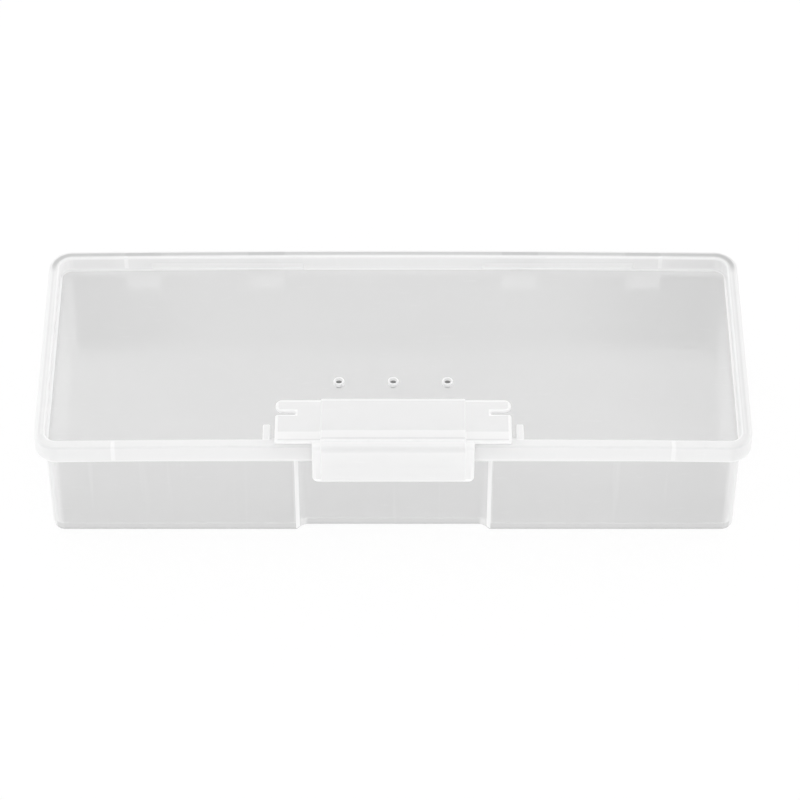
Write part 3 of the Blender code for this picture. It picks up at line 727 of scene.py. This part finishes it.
def polypropylene(name, clear, milk, white=0.94, gloss=0.6, inward=0.5, floor_clear=None,
                  painted_shading=(), painted_light=()):
    """A translucent moulding. Each skin lets `clear` of the light through
    (floor_clear on level faces), up to half of it softened, and shows `milk` of
    scattered `white`, which grows where the sight runs along the skin.
    inward is the share of the scattered light that comes from behind the skin.
    Its two mask lists paint light and shade: (ranges, factor on everything), a painted shade
    below 1 and a painted light above 1; (ranges, milk to add), a painted light."""
    cloud = 0.012                     # strength of the flow clouds
    graph = PlasticGraph(name)
    calc = graph.math
    geometry = graph.add("NewGeometry", {})
    backfacing = geometry.outputs["Backfacing"]
    # flow drawn out along the box, faint rubs, and an eroded grain in the gloss
    flow = graph.noise(scale=22.0, detail=3.0, stretch=(1.0, 3.2, 3.2))
    rubs = graph.ramp(graph.noise(scale=160.0, detail=6.0, stretch=(1.0, 6.0, 6.0)),
                      start=0.62, end=0.74)
    grain = graph.add("Bump", {"Strength": 0.22, "Distance": 0.00004,
                               "Height": graph.noise(scale=3200.0, detail=2.0)})
    # the cosine of the sight, held off zero, and the length of its way through
    dot = graph.add("VectorMath", {0: geometry.outputs["Normal"],
                                   1: geometry.outputs["Incoming"]}, operation='DOT_PRODUCT')
    facing = calc('MAXIMUM', calc('ABSOLUTE', dot.outputs["Value"]), 0.13)
    path = calc('DIVIDE', 1.0, facing)

    # painted shade and light: a factor on everything where each mask reaches
    dim = None
    for ranges, factor in painted_shading:
        dimming = calc('MULTIPLY_ADD', graph.mask(ranges), factor - 1.0, 1.0)
        dim = calc('MULTIPLY', dim, dimming) if dim else dimming

    drift = calc('MULTIPLY_ADD', flow, cloud, -cloud * 0.5)
    if floor_clear is None:
        through = calc('ADD', drift, clear)
    else:
        level = calc('ABSOLUTE', graph.source("facing").outputs[2])
        through = calc('ADD', graph.ramp(level, start=0.75, end=0.95, low=clear,
                                         high=floor_clear), drift)
    albedo = calc('MULTIPLY_ADD', flow, 0.01, white - 0.005)
    if dim:
        through = calc('MULTIPLY', through, dim)
        albedo = calc('MULTIPLY', albedo, dim)
    tint = graph.add("CombineColor", dict.fromkeys(range(3), through))
    shade = graph.add("CombineColor", dict.fromkeys(range(3), albedo))

    straight = graph.add("BsdfTransparent", {"Color": tint})
    soft = graph.add("BsdfRefraction", {"Color": tint, "IOR": 1.06, "Roughness": 0.3})
    no_blur_at_grazing = graph.ramp(facing, start=0.2, end=0.6, high=0.5)
    see = graph.mix(no_blur_at_grazing, straight, soft)
    body = graph.add("BsdfDiffuse", {"Color": shade, "Normal": grain})
    glow = graph.add("BsdfTranslucent", {"Color": shade})
    scatter = graph.mix(inward, body, glow)

    haze = calc('SUBTRACT', 1.0, calc('POWER', 1.0 - milk, path))
    haze = calc('ADD', haze, calc('MULTIPLY_ADD', flow, cloud * 2, -cloud))
    haze = calc('MULTIPLY_ADD', rubs, 0.03, haze)
    # faint draw marks down the upright faces
    drawn = graph.ramp(graph.noise(scale=420.0, detail=2.0, stretch=(1.0, 1.0, 0.05)),
                       start=0.60, end=0.78)
    on_upright = graph.ramp(graph.source("level"), start=0.5, end=0.3)
    haze = calc('MULTIPLY_ADD', calc('MULTIPLY', drawn, on_upright), 0.04, haze)
    # painted light: milk added where each mask reaches
    for ranges, extra in painted_light:
        haze = calc('MULTIPLY_ADD', graph.mask(ranges), extra, haze)
    # only where light enters the plastic: on its way out it is already milky
    entering = calc('SUBTRACT', 1.0, backfacing)
    haze = calc('MULTIPLY', calc('MINIMUM', haze, 1.0), entering)
    skin = graph.mix(haze, see, scatter)

    fresnel = graph.add("Fresnel", {"IOR": 1.49, "Normal": grain})
    sheen = graph.add("BsdfGlossy", {"Color": (1, 1, 1, 1), "Normal": grain,
                                     "Roughness": calc('MULTIPLY_ADD', rubs, 0.12, 0.28)})
    outside = calc('SUBTRACT', 1.0, backfacing)
    share = calc('MULTIPLY', calc('MULTIPLY', fresnel, gloss), outside)
    if dim:
        share = calc('MULTIPLY', share, dim)
    return graph.finish(graph.mix(share, skin, sheen))


# ---------------------------------------------------------------------------
# Painted light and shade: where the plastic is made dimmer, brighter or milkier. Ranges are in
# mm, except for level.
# ---------------------------------------------------------------------------
def fade(source, start, end):
    return source, start * MM, end * MM


def line(source, low, high, soft=0.2):
    """Two ranges that leave the band low..high."""
    return (fade(source, low - soft, low + soft * 0.5),
            fade(source, high + soft, high - soft * 0.5))


FRONT_STRIP = fade("y", FRONT + 6.5, FRONT + 6.0)
BACK_STRIP = fade("y", BACK - 6.9, BACK - 5.9)
UPRIGHT = ("level", 0.8, 0.6)


def tray_materials():
    ends = (fade("abs_x", 88.6, 90.0), UPRIGHT)
    back_wall = (fade("y", 20.0, 30.0), UPRIGHT)
    outer_wall = (fade("y", FRONT + 3.9, FRONT + 3.6),)
    outer_bay = (fade("y", FRONT + 5.7, FRONT + 5.4), fade("abs_x", 24.0, 23.0))
    foot = (((fade("z", 3.1, 2.75), ("level", 0.97, 0.85)), 0.855),
            ((fade("z", 2.6, 2.3), ("level", 0.97, 0.85)), 0.97),
            ((fade("z", 1.5, 1.1), ("level", 0.995, 0.97)), 0.93))
    painted_shading = (
        # painted shade: a thin dark band along the front foot
        *(((*ranges, *where), factor) for ranges, factor in foot
          for where in (outer_wall, outer_bay)),
        # painted shade: the lower front wall, then the back wall: all of it, its right more, its
        # left
        ((fade("z", 30.0, 4.0), fade("y", 0.0, -10.0), UPRIGHT), 0.98),
        (back_wall, 0.993),
        ((fade("x", 40.0, 92.0), *back_wall), 0.935),
        ((fade("x", -45.0, -92.0), *back_wall), 0.962),
        # painted shade on the right of the floor and the rear of the right end, painted light on
        # both ends
        ((fade("x", 55.0, 92.0), fade("z", 3.0, 2.5), ("level", 0.9, 0.97)), 0.975),
        ((fade("x", 88.6, 90.0), fade("y", -5.0, 20.0), UPRIGHT), 0.95),
        (ends, 1.055))
    painted_light = (
        # painted light: flanks of the finger bay, both ends
        ((fade("abs_x", 22.6, 25.6), fade("abs_x", 27.0, 26.3), UPRIGHT, FRONT_STRIP), 0.30),
        (ends, 0.30))
    return [polypropylene("tray_frosted_pp", clear=0.905, milk=0.10, white=0.97,
                          floor_clear=0.929, painted_shading=painted_shading, painted_light=painted_light, inward=0.75),
            polypropylene("tray_bright_edge", clear=0.98, milk=0.70, white=0.99, inward=0.1),
            polypropylene("tray_thick_rim", clear=0.975, milk=0.40, white=0.98, inward=0.2)]


def lid_materials():
    # painted light: the rim brightened over both ends
    rim_ends = ((fade("inset", 2.2, 2.6), fade("inset", 4.2, 3.8), fade("abs_x", 88.0, 90.0)),
                1.10)
    # painted shade: a dark line along the rim's rear edge, and a darker band below it
    rear_edge = (((fade("y", 33.5, 35.5), fade("inset", 1.3, 0.9)), 0.88),
                 ((fade("y", 30.0, 31.5), fade("y", 35.0, 34.0), fade("z", 35.0, 33.8)), 0.91))
    # painted shade: back corners, the right one again, then the right and left ends
    corners = (((fade("y", 28.0, 32.0), fade("abs_x", 74.0, 78.0)), 0.97),
               ((fade("y", 28.0, 32.0), fade("x", 60.0, 85.0)), 0.975),
               ((fade("x", 88.0, 90.0),), 0.96),
               ((fade("x", -88.0, -90.0),), 0.985))
    # painted shade: the channel line, its rear stretch, and the two knuckle windows
    over_channel = (
        ((fade("inset", 0.9, 1.2), fade("inset", 1.8, 1.4)), 0.94),
        rim_ends,
        *corners,
        ((fade("inset", 0.3, 1.0), fade("inset", 2.3, 1.8), fade("y", 28.0, 33.0)), 0.71),
        ((fade("abs_x", 29.8, 30.4), fade("abs_x", 40.4, 39.8), BACK_STRIP), 0.94),
        ((fade("abs_x", 64.0, 64.6), fade("abs_x", 74.4, 73.8), BACK_STRIP), 0.94))
    # painted light over the ribs and the hinge relief, seen through the rim
    ribs = (fade("abs_x", RIB_X - 0.75, RIB_X - 0.3), fade("abs_x", RIB_X + 0.75, RIB_X + 0.3))
    relief = (fade("abs_x", 24.6, 24.9), fade("abs_x", 66.9, 66.6),
              fade("z", RIM_TOP - 1.4, RIM_TOP - 1.8), fade("y", 31.0, 33.0))
    painted_light = (((*ribs, FRONT_STRIP), 0.20), ((*ribs, BACK_STRIP), 0.22), (relief, 0.16))
    return [polypropylene("lid_frosted_pp", clear=0.930, milk=0.09),
            polypropylene("lid_bright_edge", clear=0.99, milk=0.82, white=0.985, inward=0.1,
                          painted_shading=rear_edge),
            polypropylene("lid_thick_rim", clear=0.98, milk=0.69, white=0.97, inward=0.2,
                          painted_shading=(rim_ends, *corners), painted_light=painted_light),
            polypropylene("lid_over_channel", clear=0.98, milk=0.78, white=0.97, inward=0.2,
                          painted_shading=over_channel)]


def latch_materials():
    """Painted light where light gathers in the rounded edges of the latch's outline."""
    on_top = fade("z", MID_TOP - 0.2, MID_TOP)
    in_front = fade("y", FRONT + 1.0, FRONT + 0.6)
    tab_foot = (in_front, *line("z", TAB_BOTTOM - 1, TAB_BOTTOM + 0.95))
    painted_light = (
        # painted highlights on the plate: rear edge, ends, slots, front edge, bend
        ((*line("y", FRONT + PLATE_REAR - 0.85, FRONT + PLATE_REAR + 1), on_top), 0.40),
        ((*line("abs_x", PLATE_HALF - 0.75, PLATE_HALF + 1), on_top), 0.40),
        ((*line("abs_x", PLATE_HALF - SLOT_LEN - 1.0, PLATE_HALF + 1),
          *line("y", FRONT + SLOT_FRONT - 0.5, FRONT + SLOT_REAR + 0.5), on_top), 0.40),
        ((*line("y", FRONT + 1.5, FRONT + 4.0, 0.3), on_top), 0.30),
        ((*line("y", FRONT + 0.1, FRONT + 0.9, 0.3), on_top), 0.35),
        # painted light on the tab: all of it, more towards its top, its foot, its ends
        ((in_front,), 0.06),
        ((in_front, fade("z", TAB_BOTTOM, MID_TOP - 1.0)), 0.25),
        (tab_foot, 0.45),
        ((in_front, fade("z", MID_TOP, MID_TOP - 0.5),
          *line("abs_x", TAB_HALF - 0.8, TAB_HALF + 1)), 0.40))
    # painted highlight: the tab's foot brightened
    painted_shading = ((tab_foot, 1.10),)
    return [polypropylene("latch_frosted_pp", clear=0.975, milk=0.52, white=0.975,
                          inward=0.15, painted_shading=painted_shading, painted_light=painted_light),
            polypropylene("latch_bright_edge", clear=0.99, milk=0.92, white=0.99,
                          inward=0.1, painted_shading=painted_shading),
            polypropylene("latch_thick_parts", clear=0.975, milk=0.60, white=0.975,
                          inward=0.15, painted_shading=painted_shading, painted_light=painted_light)]


def dress(piece, materials, body, node):
    kinds = [p.material_index for p in piece.data.polygons]
    piece.data.materials.clear()               # this resets the indices
    for material in materials[:SHADE] + [painted_bore_shade] + materials[SHADE:]:
        piece.data.materials.append(material)
    piece.data.polygons.foreach_set("material_index", kinds)
    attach(piece, body)
    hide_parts(node)


tray_work = build_tray()
lid_work = build_lid()
latch_work = build_latch()
bpy.context.view_layer.update()
tray_piece = baked(tray_work, "tray_moulding")
lid_piece = baked(lid_work, "lid_moulding")
latch_piece = baked(latch_work, "latch_moulding")
for work in work_objects:
    bpy.data.objects.remove(work, do_unlink=True)

# painted shade: a dark copy of the plastic for the deep part of the vent bores
painted_bore_shade = polypropylene("painted_bore_shade", clear=0.30, milk=0.35, white=0.28, gloss=0.3)
dress(tray_piece, tray_materials(), "base", "base_tray")
dress(lid_piece, lid_materials(), "lid", "lid")
dress(latch_piece, latch_materials(), "latch", "latch")


# ---------------------------------------------------------------------------
# Floor, light, camera; metres
# ---------------------------------------------------------------------------
def add_floor():
    """A pale floor that mostly glows, so shadows on it stay faint."""
    bpy.ops.mesh.primitive_plane_add(size=6.0, location=(0, 0, -0.0003))
    floor = bpy.context.object
    floor.name = "floor"
    graph = Graph("pale_floor")
    glow = graph.add("Emission", {"Color": (1, 1, 1, 1), "Strength": 1.01})
    matt = graph.add("BsdfDiffuse", {"Color": (0.95, 0.95, 0.95, 1)})
    matt_share = 0.10
    floor.data.materials.append(graph.finish(graph.mix(matt_share, glow, matt)))


def set_light(scene):
    world = bpy.data.worlds.new("studio")
    scene.world = world
    world.use_nodes = True
    background = world.node_tree.nodes["Background"]
    background.inputs["Color"].default_value = (1, 1, 1, 1)
    background.inputs["Strength"].default_value = 1.03
    scene.view_settings.view_transform = 'Standard'
    scene.view_settings.look = 'None'
    scene.cycles.transparent_max_bounces = 32


def add_camera(scene):
    """Looks down at the middle of the lid's front edge."""
    pitch = math.radians(47.02)
    distance = 0.938
    raised = 0.01228052               # shift along the camera's own up
    aim = Vector((0.0, FRONT * MM, (RIM_TOP + CAMBER) * MM))
    forward = Vector((0, math.cos(pitch), -math.sin(pitch)))
    up = Vector((0, math.sin(pitch), math.cos(pitch)))
    lens = bpy.data.cameras.new("camera")
    camera = bpy.data.objects.new("camera", lens)
    scene.collection.objects.link(camera)
    camera.location = aim - forward * distance + up * raised
    camera.rotation_mode = 'QUATERNION'
    camera.rotation_quaternion = forward.to_track_quat('-Z', 'Y')
    lens.sensor_width = 36.0
    lens.lens = 160.515
    lens.shift_x = 0.0085
    lens.clip_start = 0.05
    lens.clip_end = 20.0
    scene.camera = camera


add_floor()
set_light(bpy.context.scene)
add_camera(bpy.context.scene)
